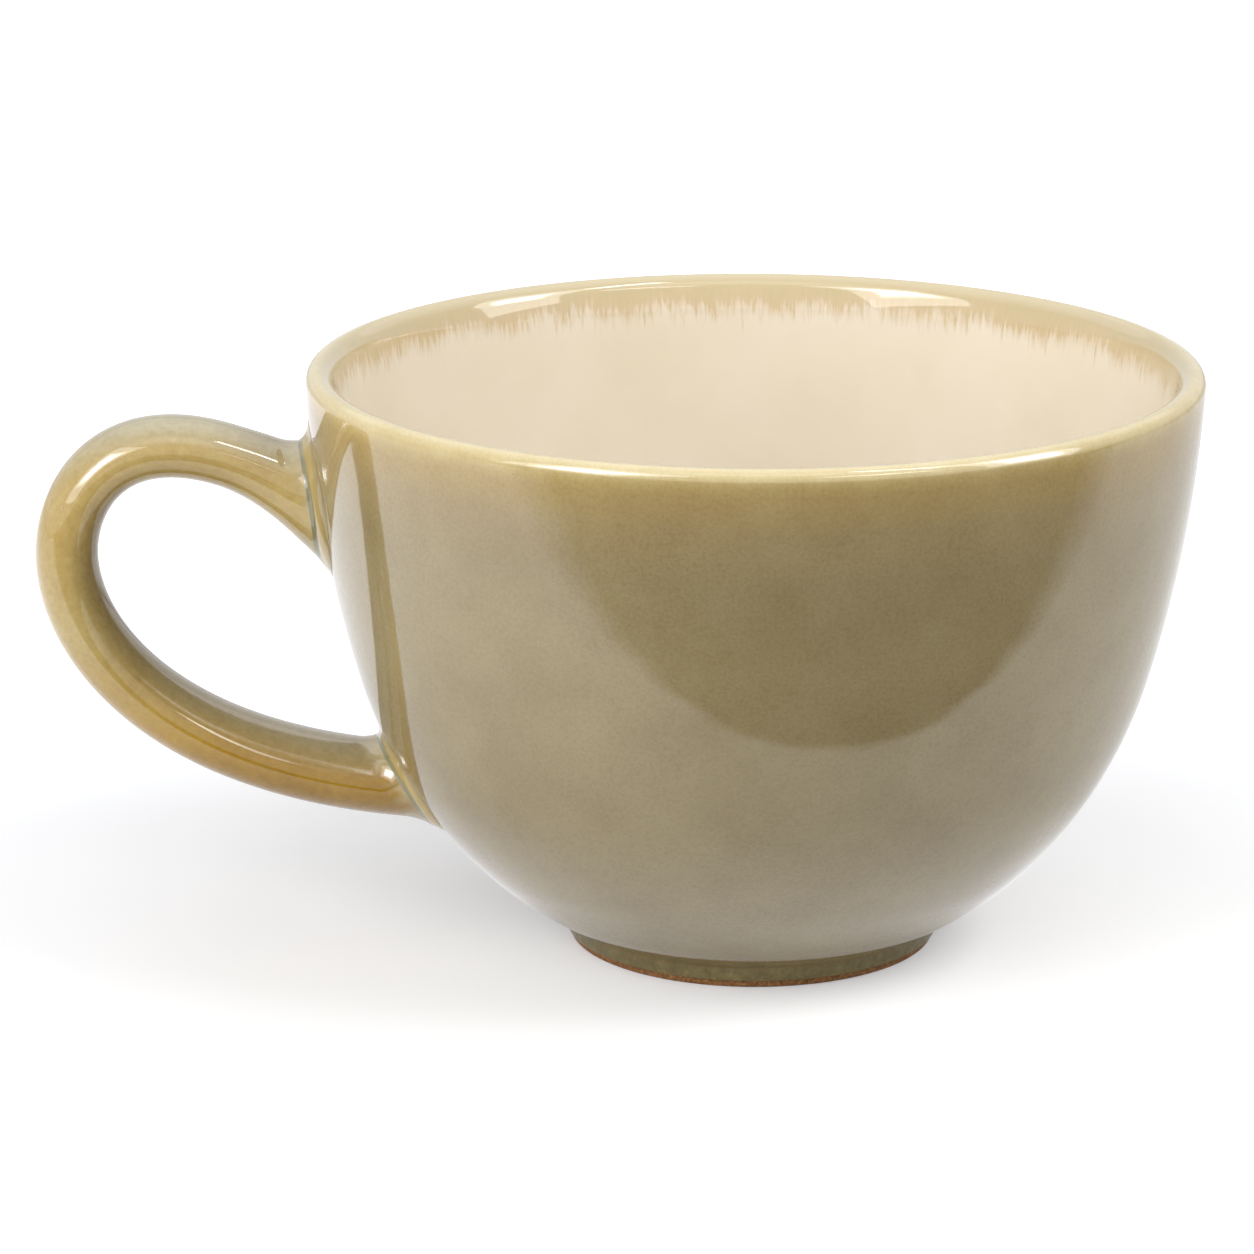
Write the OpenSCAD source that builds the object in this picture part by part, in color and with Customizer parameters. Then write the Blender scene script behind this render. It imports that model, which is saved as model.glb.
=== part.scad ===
// A glazed stoneware soup mug: a round bowl on a low foot ring, with one strap handle on the -X side.
// Z is up. The origin is on the axis of the bowl, in the plane that the foot ring stands on.
// Lengths are in millimetres and angles in degrees.

/* [Bowl] */
// Radius of the bowl where it meets the foot ring
base_r = 27.9; // [25:0.1:30]
// Curve of the outside just above the foot ring
base_curve_r = 53.2; // [50:0.4:58]
// Curve of the outside at the belly
belly_curve_r = 68.5; // [64:0.5:76]
// Curve of the outside from the belly to the rim
wall_curve_r = 180; // [160:5:220]
// Angle at which the outside faces down at the foot ring
base_angle = 63.5; // [61:0.5:67]
// Angle at which the outside faces down at the top of the base curve
belly_angle = 38.9; // [36:0.1:42]
// Angle at which the outside faces down at the top of the belly
wall_angle = 16.2; // [14:0.2:18]
// Angle at which the outside faces down at the rim
rim_angle = 2.35; // [1:0.05:4]
// Radius of the rounded lip, which is half the thickness of the wall at the rim
lip_r = 1.7; // [1.5:0.1:2.2]
// How much smaller the curves of the inside are than the wall alone makes them, so the wall grows downward
thicken_r = 6; // [3:0.5:8]
// Thickness of the floor over the hollow of the foot, glaze included
floor_t = 4.6; // [3.6:0.2:6]
// Curve between the floor and the wall inside
floor_curve_r = 14; // [10:1:18]

/* [Foot ring] */
// Height of the foot ring
foot_h = 3.35; // [2.4:0.05:5]
// Step in from the bowl to the foot ring, where the glaze pools
foot_step = 0.2; // [0.1:0.1:0.6]
// How much the foot ring narrows toward the table
foot_draw_w = 0.35; // [0:0.05:0.8]
// Width of the foot ring
foot_w = 6; // [4:0.5:8]
// Bevel at both edges of the face that the mug stands on
foot_bevel = 0.4; // [0.2:0.1:0.6]
// Height of the bare edge below the glaze of the foot ring
bare_h = 1.1; // [0.8:0.1:1.6]

/* [Glaze] */
// Thickness of every coat of glaze
glaze_t = 0.45; // [0.3:0.05:0.6]
// Height of the rim band on the outside
rim_band_h = 4; // [3:0.5:8]
// Height of the rim band on the inside
rim_run_h = 6; // [4:0.5:12]

/* [Handle] */
// How far the centre of the handle's upper end lies below the rim
upper_drop = 22.57; // [20:0.01:24]
// How deep that centre lies inside the clay of the wall
upper_depth = 4; // [3.5:0.1:5.5]
// Angle at which the strap rises out of the wall
upper_angle = 36.9; // [34:0.5:40]
// How far the strap keeps to that angle
upper_lead = 37.8; // [34:0.2:40]
// How far the strap stands out past the centre of its upper end
back_reach = 41.4; // [37:0.1:46]
// Share of the height between its two ends at which it stands farthest out
back_share = 0.886; // [0.82:0.002:0.94]
// How far the strap keeps upright above that place
back_rise = 11.6; // [9:0.2:14]
// How far the strap keeps upright below that place
back_drop = 12.4; // [10:0.2:15]
// How far the centre of the handle's lower end lies above the foot ring
lower_rise = 20.55; // [19:0.05:23]
// How deep that centre lies inside the clay of the wall
lower_depth = 3.08; // [2.5:0.02:4.5]
// Angle at which the strap leaves the wall at its lower end
lower_angle = 3.4; // [1:0.2:6]
// How far the strap keeps to that angle
lower_lead = 40.4; // [36:0.2:44]
// Half the thickness of the strap
strap_thick_r = 4.47; // [4:0.01:5]
// Half the width of the strap
strap_wide_r = 6.6; // [6:0.1:8]
// What the flare of the upper end adds to half the thickness
upper_flare_thick = 3.2; // [2:0.1:4]
// What the flare of the upper end adds to half the width
upper_flare_wide = 2.4; // [1:0.1:3]
// What the flare of the lower end adds to half the thickness
lower_flare_thick = 0.8; // [0.4:0.1:1.6]
// What the flare of the lower end adds to half the width
lower_flare_wide = 2; // [1:0.1:3]
// Share of the strap that the upper flare takes
upper_flare_share = 0.12; // [0.1:0.01:0.2]
// Share of the strap that the lower flare takes
lower_flare_share = 0.73; // [0.5:0.01:0.8]
// What the fillet at both roots of the strap adds on its upper side where it meets the slip
root_w = 1.9; // [1:0.1:2.2]
// How far from the slip the fillet begins
root_h = 4.2; // [3.4:0.1:5]
// Share of that fillet on the underside of the upper root, less than zero where the strap draws in
upper_under_share = -0.3; // [-0.4:0.05:0.2]
// Share of that fillet on the underside of the lower root
lower_under_share = 0.6; // [0.2:0.05:1]
// Thickness of the luting slip between the strap and the wall
slip_t = 0.8; // [0.6:0.05:1]
// How far the slip stands out around the strap
slip_spread = 0.35; // [0.2:0.05:0.6]

/* [Fineness] */
// Sides of the strap's oval section
strap_sides = 32; // [24:4:40]
// Sections along the strap
strap_rings = 56; // [40:2:64]
// Steps in each curve of the bowl
curve_steps = 8; // [6:1:12]
// Rings of points across each end of the strap
end_rings = 4; // [3:1:6]

/* [Hidden] */
$fa = 2;
$fs = 0.3;
// How far the gap in the glaze around the slip is carried past both faces of the slip, as a share of its sides
gap_reach_share = 2;
// Length below which two points of an outline are the same
hair = glaze_t / 1000;
// Halvings in the search for the place where the strap meets the wall
halvings = 20;
// Share of the strap, counted from either end, in which it meets the wall
meet_share = 0.2;

// Centres of the outside's three curves, each on the line that the next one starts from
base_c = [base_r, foot_h] - base_curve_r * facing(base_angle);
belly_c = base_c + (base_curve_r - belly_curve_r) * facing(belly_angle);
wall_c = belly_c + (belly_curve_r - wall_curve_r) * facing(wall_angle);
// The rim, from which the size of the mouth and the height of the mug follow
rim_p = wall_c + wall_curve_r * facing(rim_angle);
lip_c = rim_p - lip_r * facing(rim_angle);
rim_z = lip_c[1] + lip_r;

// The four curves of the inside
wall_t = 2 * lip_r;
in_wall_r = wall_curve_r - wall_t;
in_belly_r = belly_curve_r - wall_t - thicken_r;
in_base_r = base_curve_r - wall_t - thicken_r;
in_belly_c = wall_c + (in_wall_r - in_belly_r) * facing(wall_angle);
in_base_c = in_belly_c + (in_belly_r - in_base_r) * facing(belly_angle);
floor_z = foot_h + floor_t;
floor_angle = asin((in_base_c[1] - floor_z - floor_curve_r) / (in_base_r - floor_curve_r));
floor_c = in_base_c + (in_base_r - floor_curve_r) * facing(floor_angle);

// The foot ring
foot_top_r = base_r - foot_step;
foot_end_r = foot_top_r - foot_draw_w;
foot_in_r = foot_end_r - foot_w;

// Where the rim band ends, outside and inside
band_angle = facing_at(wall_c, wall_curve_r, rim_z - rim_band_h);
run_angle = facing_at(wall_c, in_wall_r, rim_z - rim_run_h);

// Direction of a surface that faces down from the horizontal by an angle
function facing(a) = [cos(a), -sin(a)];

// Angle at which a curve passes a height
function facing_at(c, r, z) = asin((c[1] - z) / r);

// Points of a curve from one angle to another
function curve(c, r, from_a, to_a) =
    [for (i = [0 : curve_steps]) c + r * facing(from_a + (to_a - from_a) * i / curve_steps)];

// Outside of the bowl, moved in by a length, from the rim band down to the foot plane
function outside(inset) = concat(
    curve(wall_c, wall_curve_r - inset, band_angle, wall_angle),
    curve(belly_c, belly_curve_r - inset, wall_angle, belly_angle),
    curve(base_c, base_curve_r - inset, belly_angle, facing_at(base_c, base_curve_r - inset, foot_h)));

// Inside of the bowl, moved into the clay by a length, from the rim band down to the axis
function inside(depth) = concat(
    curve(wall_c, in_wall_r + depth, run_angle, wall_angle),
    curve(in_belly_c, in_belly_r + depth, wall_angle, belly_angle),
    curve(in_base_c, in_base_r + depth, belly_angle, floor_angle),
    curve(floor_c, floor_curve_r + depth, floor_angle, 90),
    [[0, floor_z - depth]]);

// The rim band, moved in by a length, from its end inside over the lip to its end outside
function over_rim(inset) = concat(
    curve(wall_c, in_wall_r + inset, run_angle, rim_angle),
    curve(lip_c, lip_r - inset, rim_angle - 180, rim_angle),
    curve(wall_c, wall_curve_r - inset, rim_angle, band_angle));

// A list from its end to its start, and an outline without points that repeat the next one
function reverse(list) = [for (i = [len(list) - 1 : -1 : 0]) list[i]];
function distinct(list) = [for (i = [0 : len(list) - 1])
    if (norm(list[i] - list[(i + 1) % len(list)]) > hair) list[i]];

// Radius of the bowl at a height, on a surface that lies above the clay by a length
function bowl_r(z, above) =
    let (on = above - glaze_t,
        c = z > wall_c[1] - (wall_curve_r + on) * sin(wall_angle) ? [wall_c, wall_curve_r + on]
            : z > belly_c[1] - (belly_curve_r + on) * sin(belly_angle) ? [belly_c, belly_curve_r + on]
            : [base_c, base_curve_r + on])
    c[0][0] + sqrt(pow(c[1], 2) - pow(c[0][1] - z, 2));

// The strap's centre line: two curves that meet where the handle stands farthest out
function bend(a, b, c, d, u) =
    pow(1 - u, 3) * a + 3 * pow(1 - u, 2) * u * b + 3 * (1 - u) * u * u * c + u * u * u * d;
function bend_way(a, b, c, d, u) =
    3 * (pow(1 - u, 2) * (b - a) + 2 * (1 - u) * u * (c - b) + u * u * (d - c));
upper_z = rim_z - upper_drop;
lower_z = foot_h + lower_rise;
upper_p = [bowl_r(upper_z, 0) - upper_depth, upper_z];
lower_p = [bowl_r(lower_z, 0) - lower_depth, lower_z];
back_p = [upper_p[0] + back_reach, lower_z + back_share * (upper_z - lower_z)];
upper_q = upper_p + upper_lead * [cos(upper_angle), sin(upper_angle)];
back_above = back_p + [0, back_rise];
back_below = back_p - [0, back_drop];
lower_q = lower_p + lower_lead * [cos(lower_angle), sin(lower_angle)];
function strap_p(t) = t < 1 / 2
    ? bend(upper_p, upper_q, back_above, back_p, 2 * t)
    : bend(back_p, back_below, lower_q, lower_p, 2 * t - 1);
function strap_way(t) = t < 1 / 2
    ? 2 * bend_way(upper_p, upper_q, back_above, back_p, 2 * t)
    : 2 * bend_way(back_p, back_below, lower_q, lower_p, 2 * t - 1);

// Half the thickness and half the width of the strap, with its flared ends
function upper_flare(t) = pow(max(0, 1 - t / upper_flare_share), 2);
function lower_flare(t) = pow(max(0, 1 - (1 - t) / lower_flare_share), 2);
function thick_at(t) =
    strap_thick_r + upper_flare_thick * upper_flare(t) + lower_flare_thick * lower_flare(t);
function wide_at(t) =
    strap_wide_r + upper_flare_wide * upper_flare(t) + lower_flare_wide * lower_flare(t);

// Point k of the strap's plain oval section at a place along it, which runs on straight past both ends
function oval_point(s, k, inset) =
    let (t = min(1, max(0, s)),
        w = strap_way(t),
        n = [-w[1], w[0]] / norm(w),
        a = 360 * k / strap_sides,
        q = strap_p(t) + (s - t) * w + (thick_at(t) - inset) * cos(a) * n)
    [-q[0], (wide_at(t) - inset) * sin(a), q[1]];

// Share of the fillet at point k of either root, from its upper side to its underside
function root_share(s, k) =
    let (c = cos(360 * k / strap_sides),
        top_share = (s < 1 / 2 ? 1 + c : 1 - c) / 2,
        under_share = s < 1 / 2 ? upper_under_share : lower_under_share)
    under_share + (1 - under_share) * top_share;

// The same point with the fillet of the root, which grows toward the slip
function strap_point(s, k, inset) =
    let (p = oval_point(s, k, inset),
        off = norm([p[0], p[1]]) - bowl_r(p[2], slip_t),
        near_share = min(1, max(0, 1 - off / root_h)))
    oval_point(s, k, inset - root_w * root_share(s, k) * pow(near_share, 2));

// Whether a point lies within a surface around the bowl
function within(p, above) = norm([p[0], p[1]]) < bowl_r(p[2], above);

// Place along the strap where the line of its points k passes that surface, between one within and one not
function meet(k, inset, above, held, free, n) =
    let (s = (held + free) / 2)
    n == 0 ? s
        : within(strap_point(s, k, inset), above) ? meet(k, inset, above, s, free, n - 1)
        : meet(k, inset, above, held, s, n - 1);
function upper_meet(k, inset, above) = meet(k, inset, above, -meet_share, meet_share, halvings);
function lower_meet(k, inset, above) = meet(k, inset, above, 1 + meet_share, 1 - meet_share, halvings);

// The ring of points in which the strap passes that surface, numbered the same way round seen from outside
sides = [0 : strap_sides - 1];
function upper_ring(inset, above) =
    [for (k = sides) strap_point(upper_meet(k, inset, above), k, inset)];
function lower_ring(inset, above) =
    reverse([for (k = sides) strap_point(lower_meet(k, inset, above), k, inset)]);

// Rings along the strap between two such surfaces, closer together toward the ends
function strap_rows(inset, above) =
    let (from = [for (k = sides) upper_meet(k, inset, above)],
        to = [for (k = sides) lower_meet(k, inset, above)])
    [for (i = [0 : strap_rings])
        let (share = (1 - cos(180 * i / strap_rings)) / 2)
        [for (k = sides) strap_point(from[k] + (to[k] - from[k]) * share, k, inset)]];

// Middle of a ring, and a point moved level onto the surface
function middle(ring) = [for (p = ring) 1] * ring / len(ring);
function onto(p, above) = let (g = bowl_r(p[2], above) / norm([p[0], p[1]])) [g * p[0], g * p[1], p[2]];

// Rings across the end of the strap, from its edge inward, on the surface
function end_rows(ring, above) =
    let (m = middle(ring))
    [for (j = [1 : end_rings - 1])
        [for (p = ring) onto(p + (m - p) * j / end_rings, above)]];

// Triangles between two rings of points, by the numbers of their first points
function belt(a, b) = [for (k = sides)
    let (m = (k + 1) % strap_sides)
    each [[a + k, b + k, a + m], [a + m, b + k, b + m]]];

// Solid through a row of rings, closed by a point at each end
module closed_tube(rows, first, last) {
    n = len(rows);
    from = n * strap_sides;
    to = from + 1;
    end = from - strap_sides;
    polyhedron(
        concat([for (r = rows) each r], [first, last]),
        concat(
            [for (j = [0 : n - 2]) each belt(j * strap_sides, (j + 1) * strap_sides)],
            [for (k = sides) [from, k, (k + 1) % strap_sides]],
            [for (k = sides) [end + (k + 1) % strap_sides, end + k, to]]));
}

// Solid through a row of rings that closes on itself
module open_tube(rows) {
    n = len(rows);
    polyhedron(
        [for (r = rows) each r],
        [for (j = [0 : n - 1]) each belt(j * strap_sides, (j + 1) % n * strap_sides)]);
}

// Round solid of an outline beside the axis
module turned(outline) {
    rotate_extrude() polygon(distinct(outline));
}

// The clay of the bowl
module bowl_body() {
    color("tan") turned(concat(
        over_rim(glaze_t),
        outside(glaze_t),
        [[0, foot_h]],
        reverse(inside(glaze_t))));
}

// The ring that the mug stands on
module foot_ring() {
    color("sienna") turned([
        [foot_in_r, foot_h],
        [foot_in_r, foot_bevel],
        [foot_in_r + foot_bevel, 0],
        [foot_end_r - glaze_t - foot_bevel, 0],
        [foot_end_r - glaze_t, foot_bevel],
        [foot_top_r - glaze_t, foot_h]]);
}

// The clay of the handle, from slip to slip
module handle() {
    rows = strap_rows(glaze_t, slip_t);
    upper = rows[0];
    lower = rows[strap_rings];
    color("tan") closed_tube(
        concat(reverse(end_rows(upper, slip_t)), rows, end_rows(lower, slip_t)),
        onto(middle(upper), slip_t),
        onto(middle(lower), slip_t));
}

// A pad of slip on the clay of the bowl, between its ring on the clay and its ring under the strap
module slip_pad(under, over) {
    closed_tube(
        concat(reverse(end_rows(under, 0)), [under, over], end_rows(over, slip_t)),
        onto(middle(under), 0),
        onto(middle(over), slip_t));
}

// What the pad takes out of the coat of glaze around it: its own sides, carried on both ways
module slip_gap(under, over) {
    in = under - gap_reach_share * (over - under);
    out = over + gap_reach_share * (over - under);
    closed_tube([in, out], middle(in), middle(out));
}

module upper_joint_slip() {
    color("darkseagreen") slip_pad(upper_ring(-slip_spread, 0), upper_ring(-slip_spread, slip_t));
}

module lower_joint_slip() {
    color("darkseagreen") slip_pad(lower_ring(-slip_spread, 0), lower_ring(-slip_spread, slip_t));
}

// The coat on the outside of the bowl, open where the handle is luted on
module outer_glaze() {
    color("darkkhaki") difference() {
        turned(concat(outside(0), reverse(outside(glaze_t))));
        slip_gap(upper_ring(-slip_spread, 0), upper_ring(-slip_spread, slip_t));
        slip_gap(lower_ring(-slip_spread, 0), lower_ring(-slip_spread, slip_t));
    }
}

// The band over the lip, lower on the inside than on the outside
module rim_glaze() {
    color("burlywood") turned(concat(over_rim(0), reverse(over_rim(glaze_t))));
}

// The coat on the inside of the bowl
module liner_glaze() {
    color("cornsilk") turned(concat(inside(0), reverse(inside(glaze_t))));
}

// The coat on the handle, from slip to slip
module handle_glaze() {
    color("darkgoldenrod") open_tube(concat(strap_rows(0, slip_t), reverse(strap_rows(glaze_t, slip_t))));
}

// The coat on the outer wall of the foot ring, above the bare edge
module foot_glaze() {
    low_r = foot_end_r + foot_draw_w * bare_h / foot_h;
    color("olive") turned([
        [low_r - glaze_t, bare_h],
        [low_r, bare_h],
        [foot_top_r, foot_h],
        [foot_top_r - glaze_t, foot_h]]);
}

// The coat in the hollow inside the foot ring
module base_glaze() {
    color("olive") translate([0, 0, foot_h - glaze_t]) cylinder(h = glaze_t, r = foot_in_r);
}

bowl_body();
foot_ring();
handle();
upper_joint_slip();
lower_joint_slip();
outer_glaze();
rim_glaze();
liner_glaze();
handle_glaze();
foot_glaze();
base_glaze();
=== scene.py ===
from math import radians

import bpy
import numpy as np
from mathutils import Euler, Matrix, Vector


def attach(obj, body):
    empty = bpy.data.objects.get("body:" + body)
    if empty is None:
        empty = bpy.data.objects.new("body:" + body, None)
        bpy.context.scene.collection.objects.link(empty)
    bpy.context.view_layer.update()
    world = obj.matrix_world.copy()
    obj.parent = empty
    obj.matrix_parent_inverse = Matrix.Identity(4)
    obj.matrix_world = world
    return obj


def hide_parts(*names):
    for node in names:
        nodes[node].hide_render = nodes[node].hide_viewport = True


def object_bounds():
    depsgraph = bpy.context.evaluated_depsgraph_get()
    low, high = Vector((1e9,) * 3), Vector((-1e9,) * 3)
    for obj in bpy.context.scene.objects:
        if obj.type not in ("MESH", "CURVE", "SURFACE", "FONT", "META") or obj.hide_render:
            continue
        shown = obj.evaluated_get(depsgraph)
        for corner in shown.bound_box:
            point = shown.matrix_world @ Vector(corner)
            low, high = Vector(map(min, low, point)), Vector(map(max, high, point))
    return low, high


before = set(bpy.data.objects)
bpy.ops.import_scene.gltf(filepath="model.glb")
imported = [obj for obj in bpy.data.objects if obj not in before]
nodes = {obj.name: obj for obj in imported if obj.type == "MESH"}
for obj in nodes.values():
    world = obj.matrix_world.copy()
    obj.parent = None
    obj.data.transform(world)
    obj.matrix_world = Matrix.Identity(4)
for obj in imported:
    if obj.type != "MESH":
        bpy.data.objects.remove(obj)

cad_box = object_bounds()

# Sizes of the mug in millimetres and degrees, the same as in the part's source
base_r, base_curve_r, belly_curve_r, wall_curve_r = 27.9, 53.2, 68.5, 180.0
base_angle, belly_angle, wall_angle, rim_angle = 63.5, 38.9, 16.2, 2.35
lip_r, thicken_r, floor_t, floor_curve_r = 1.7, 6.0, 4.6, 14.0
foot_h, foot_step, foot_draw_w, foot_w, foot_bevel, bare_h = 3.35, 0.2, 0.35, 6.0, 0.4, 1.1
glaze_t, rim_band_h, rim_run_h = 0.45, 4.0, 6.0
upper_drop, upper_depth, upper_angle, upper_lead = 22.57, 4.0, 36.9, 37.8
back_reach, back_share, back_rise, back_drop = 41.4, 0.886, 11.6, 12.4
lower_rise, lower_depth, lower_angle, lower_lead = 20.55, 3.08, 3.4, 40.4
strap_thick_r, strap_wide_r = 4.47, 6.6
upper_flare_thick, upper_flare_wide, upper_flare_share = 3.2, 2.4, 0.12
lower_flare_thick, lower_flare_wide, lower_flare_share = 0.8, 2.0, 0.73
root_w, root_h, upper_under_share, lower_under_share, slip_t = 1.9, 4.2, -0.3, 0.6, 0.8

# Sizes that only the scene has: the roll of glaze under the lip, and half the depth of the waves and rings
roll_w, roll_h, roll_fade, wave_t, ring_t = 1.3, 2.8, 30.0, 0.045, 0.006

# Fineness of the surfaces: steps around the bowl, in each of its curves and along its floor, around the strap
# and along it, the radius at which a flat closes to a point on the axis, the angle from which an edge is sharp,
# and how often a stretch is halved to find where the strap meets the wall
around, in_curve, in_floor, strap_around, strap_along = 256, 40, 12, 96, 200
pole_r, sharp_angle, halvings = 0.6, 40, 36


def facing(angle):
    """Direction of a surface that faces down by an angle: the cosine and minus the sine."""
    return np.stack([np.cos(np.radians(angle)), -np.sin(np.radians(angle))], -1)


def facing_at(centre, radius, z):
    """Angle at which a curve passes a height: the arcsine of the height below its centre over its radius."""
    return np.degrees(np.arcsin((centre[1] - z) / radius))


def curve(centre, radius, start, end):
    """Points of a curve: its centre plus its radius times the facing direction, at even angles."""
    return centre + radius * facing(np.linspace(start, end, in_curve + 1))


# Centres of the bowl's curves, each on the line that the next one starts from
base_c = np.array([base_r, foot_h]) - base_curve_r * facing(base_angle)
belly_c = base_c + (base_curve_r - belly_curve_r) * facing(belly_angle)
wall_c = belly_c + (belly_curve_r - wall_curve_r) * facing(wall_angle)
lip_c = wall_c + (wall_curve_r - lip_r) * facing(rim_angle)
rim_z = lip_c[1] + lip_r
in_wall_r = wall_curve_r - 2 * lip_r
in_belly_r = belly_curve_r - 2 * lip_r - thicken_r
in_base_r = base_curve_r - 2 * lip_r - thicken_r
in_belly_c = wall_c + (in_wall_r - in_belly_r) * facing(wall_angle)
in_base_c = in_belly_c + (in_belly_r - in_base_r) * facing(belly_angle)
floor_z = foot_h + floor_t
floor_angle = np.degrees(np.arcsin((in_base_c[1] - floor_z - floor_curve_r) / (in_base_r - floor_curve_r)))
floor_c = in_base_c + (in_base_r - floor_curve_r) * facing(floor_angle)
band_angle = facing_at(wall_c, wall_curve_r, rim_z - rim_band_h)
run_angle = facing_at(wall_c, in_wall_r, rim_z - rim_run_h)
foot_top_r = base_r - foot_step
foot_end_r = foot_top_r - foot_draw_w
foot_in_r = foot_end_r - foot_w


def outside(inset):
    """Outside of the bowl from the rim band down to the foot: three curves, moved in by a length."""
    foot_angle = facing_at(base_c, base_curve_r - inset, foot_h)
    return np.concatenate([
        curve(wall_c, wall_curve_r - inset, band_angle, wall_angle),
        curve(belly_c, belly_curve_r - inset, wall_angle, belly_angle)[1:],
        curve(base_c, base_curve_r - inset, belly_angle, foot_angle)[1:]])


def eased(u):
    """A smooth step from zero to one: three times the square less twice the cube, between both ends."""
    u = np.clip(u, 0, 1)
    return u * u * (3 - 2 * u)


def rolled(points):
    """Inside points moved in by the roll of thick glaze under the lip: its width times one less the
    exponential of minus the depth below the rim over the roll's height, eased out lower down."""
    drop = rim_z - points[:, 1]
    move = roll_w * (1 - np.exp(-drop / roll_h)) * (1 - eased((drop - roll_h) / roll_fade))
    return points - np.stack([move, np.zeros(len(move))], -1)


def inside(depth):
    """Inside of the bowl, from the rim band to the axis: three curves, the floor's curve and its flat."""
    floor_rs = np.linspace(floor_c[0], pole_r, in_floor)[1:]
    return np.concatenate([
        rolled(curve(wall_c, in_wall_r + depth, run_angle, wall_angle)),
        curve(in_belly_c, in_belly_r + depth, wall_angle, belly_angle)[1:],
        curve(in_base_c, in_base_r + depth, belly_angle, floor_angle)[1:],
        curve(floor_c, floor_curve_r + depth, floor_angle, 90)[1:],
        np.stack([floor_rs, np.full(len(floor_rs), floor_z - depth)], -1)])


def over_rim(inset):
    """The rim band from its end inside, over the half circle of the lip, to its end outside."""
    return np.concatenate([
        rolled(curve(wall_c, in_wall_r + inset, run_angle, rim_angle)),
        rolled(curve(lip_c, lip_r - inset, rim_angle - 180, -90)[1:]),
        curve(lip_c, lip_r - inset, -90, rim_angle)[1:],
        curve(wall_c, wall_curve_r - inset, rim_angle, band_angle)[1:]])


def thrown(profile):
    """A profile turned about the axis on a hand-driven wheel: the radius loses up to 0.1 mm in slow waves
    around the bowl and faint throwing rings up its height, and never gains, so the bowl keeps its size."""
    turn = np.linspace(0, 2 * np.pi, around, endpoint=False)
    cad_top = cad_box[1][2] * 1000
    r = profile[:, :1]
    z = np.minimum(profile[:, 1:], cad_top)
    grow = np.clip(r / 20, 0, 1) * np.clip((z - 3) / 6, 0, 1)
    slow = wave_t * (1 - np.sin(3 * turn + 1.1 + z / 14))
    rings = ring_t * (1 - np.sin(z + 1.6 * np.sin(turn + 0.4)))
    r = r - grow * (slow + rings)
    return np.stack([r * np.cos(turn), r * np.sin(turn), np.broadcast_to(z, r.shape)], -1)


def bowl_r(z, above):
    """Radius of the bowl's outside at a height, on a surface that lies above the clay by a length: the
    centre's distance plus the root of the curve's radius squared less the height off its centre squared."""
    on = above - glaze_t
    radii = []
    curves = ((wall_c, wall_curve_r + on), (belly_c, belly_curve_r + on), (base_c, base_curve_r + on))
    for centre, radius in curves:
        radii.append(centre[0] + np.sqrt(np.maximum(radius**2 - (centre[1] - z) ** 2, 0)))
    low_wall = wall_c[1] - (wall_curve_r + on) * np.sin(np.radians(wall_angle))
    low_belly = belly_c[1] - (belly_curve_r + on) * np.sin(np.radians(belly_angle))
    return np.where(z > low_wall, radii[0], np.where(z > low_belly, radii[1], radii[2]))


upper_z, lower_z = rim_z - upper_drop, foot_h + lower_rise
upper_p = np.array([bowl_r(upper_z, 0) - upper_depth, upper_z])
lower_p = np.array([bowl_r(lower_z, 0) - lower_depth, lower_z])
back_p = np.array([upper_p[0] + back_reach, lower_z + back_share * (upper_z - lower_z)])
upper_q = upper_p + upper_lead * facing(-upper_angle)
lower_q = lower_p + lower_lead * facing(-lower_angle)
back_above = back_p + [0, back_rise]
back_below = back_p - [0, back_drop]

# Stretches of the strap in which its ends meet the wall: a place within the wall and a place outside it
upper_end, lower_end = (-0.2, 0.2), (1.2, 0.8)


def oval(s, turn, outset):
    """Point of the strap's oval section: its centre line is two cubic curves that meet where the handle
    stands farthest out, and runs on straight past both ends; the section has half the thickness times the
    cosine of the turn across the line and half the width times its sine along Y, both grown by the outset."""
    t = np.clip(s, 0, 1)
    first = t < 0.5
    u = np.where(first, 2 * t, 2 * t - 1)[..., None]
    a = np.where(first[..., None], upper_p, back_p)
    b = np.where(first[..., None], upper_q, back_below)
    c = np.where(first[..., None], back_above, lower_q)
    d = np.where(first[..., None], back_p, lower_p)
    place = (1 - u) ** 3 * a + 3 * (1 - u) ** 2 * u * b + 3 * (1 - u) * u**2 * c + u**3 * d
    way = 6 * ((1 - u) ** 2 * (b - a) + 2 * (1 - u) * u * (c - b) + u**2 * (d - c))
    normal = np.stack([-way[..., 1], way[..., 0]], -1) / np.linalg.norm(way, axis=-1, keepdims=True)
    upper = np.maximum(0, 1 - t / upper_flare_share) ** 2
    lower = np.maximum(0, 1 - (1 - t) / lower_flare_share) ** 2
    thick = strap_thick_r + upper_flare_thick * upper + lower_flare_thick * lower + outset
    wide = strap_wide_r + upper_flare_wide * upper + lower_flare_wide * lower + outset
    q = place + (s - t)[..., None] * way + (thick * np.cos(turn))[..., None] * normal
    return np.stack([-q[..., 0], wide * np.sin(turn), q[..., 1]], -1)


def strap(s, turn, outset):
    """The oval with the fillet of its roots: the outset grows by the fillet's width times the square of how
    near the point is to the slip, as a share of the fillet's height, and less on each root's underside."""
    p = oval(s, turn, outset)
    off = np.hypot(p[..., 0], p[..., 1]) - bowl_r(p[..., 2], slip_t)
    near = np.clip(1 - off / root_h, 0, 1)
    top = np.where(s < 0.5, 1 + np.cos(turn), 1 - np.cos(turn)) / 2
    under = np.where(s < 0.5, upper_under_share, lower_under_share)
    return oval(s, turn, outset + root_w * (under + (1 - under) * top) * near**2)


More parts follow.
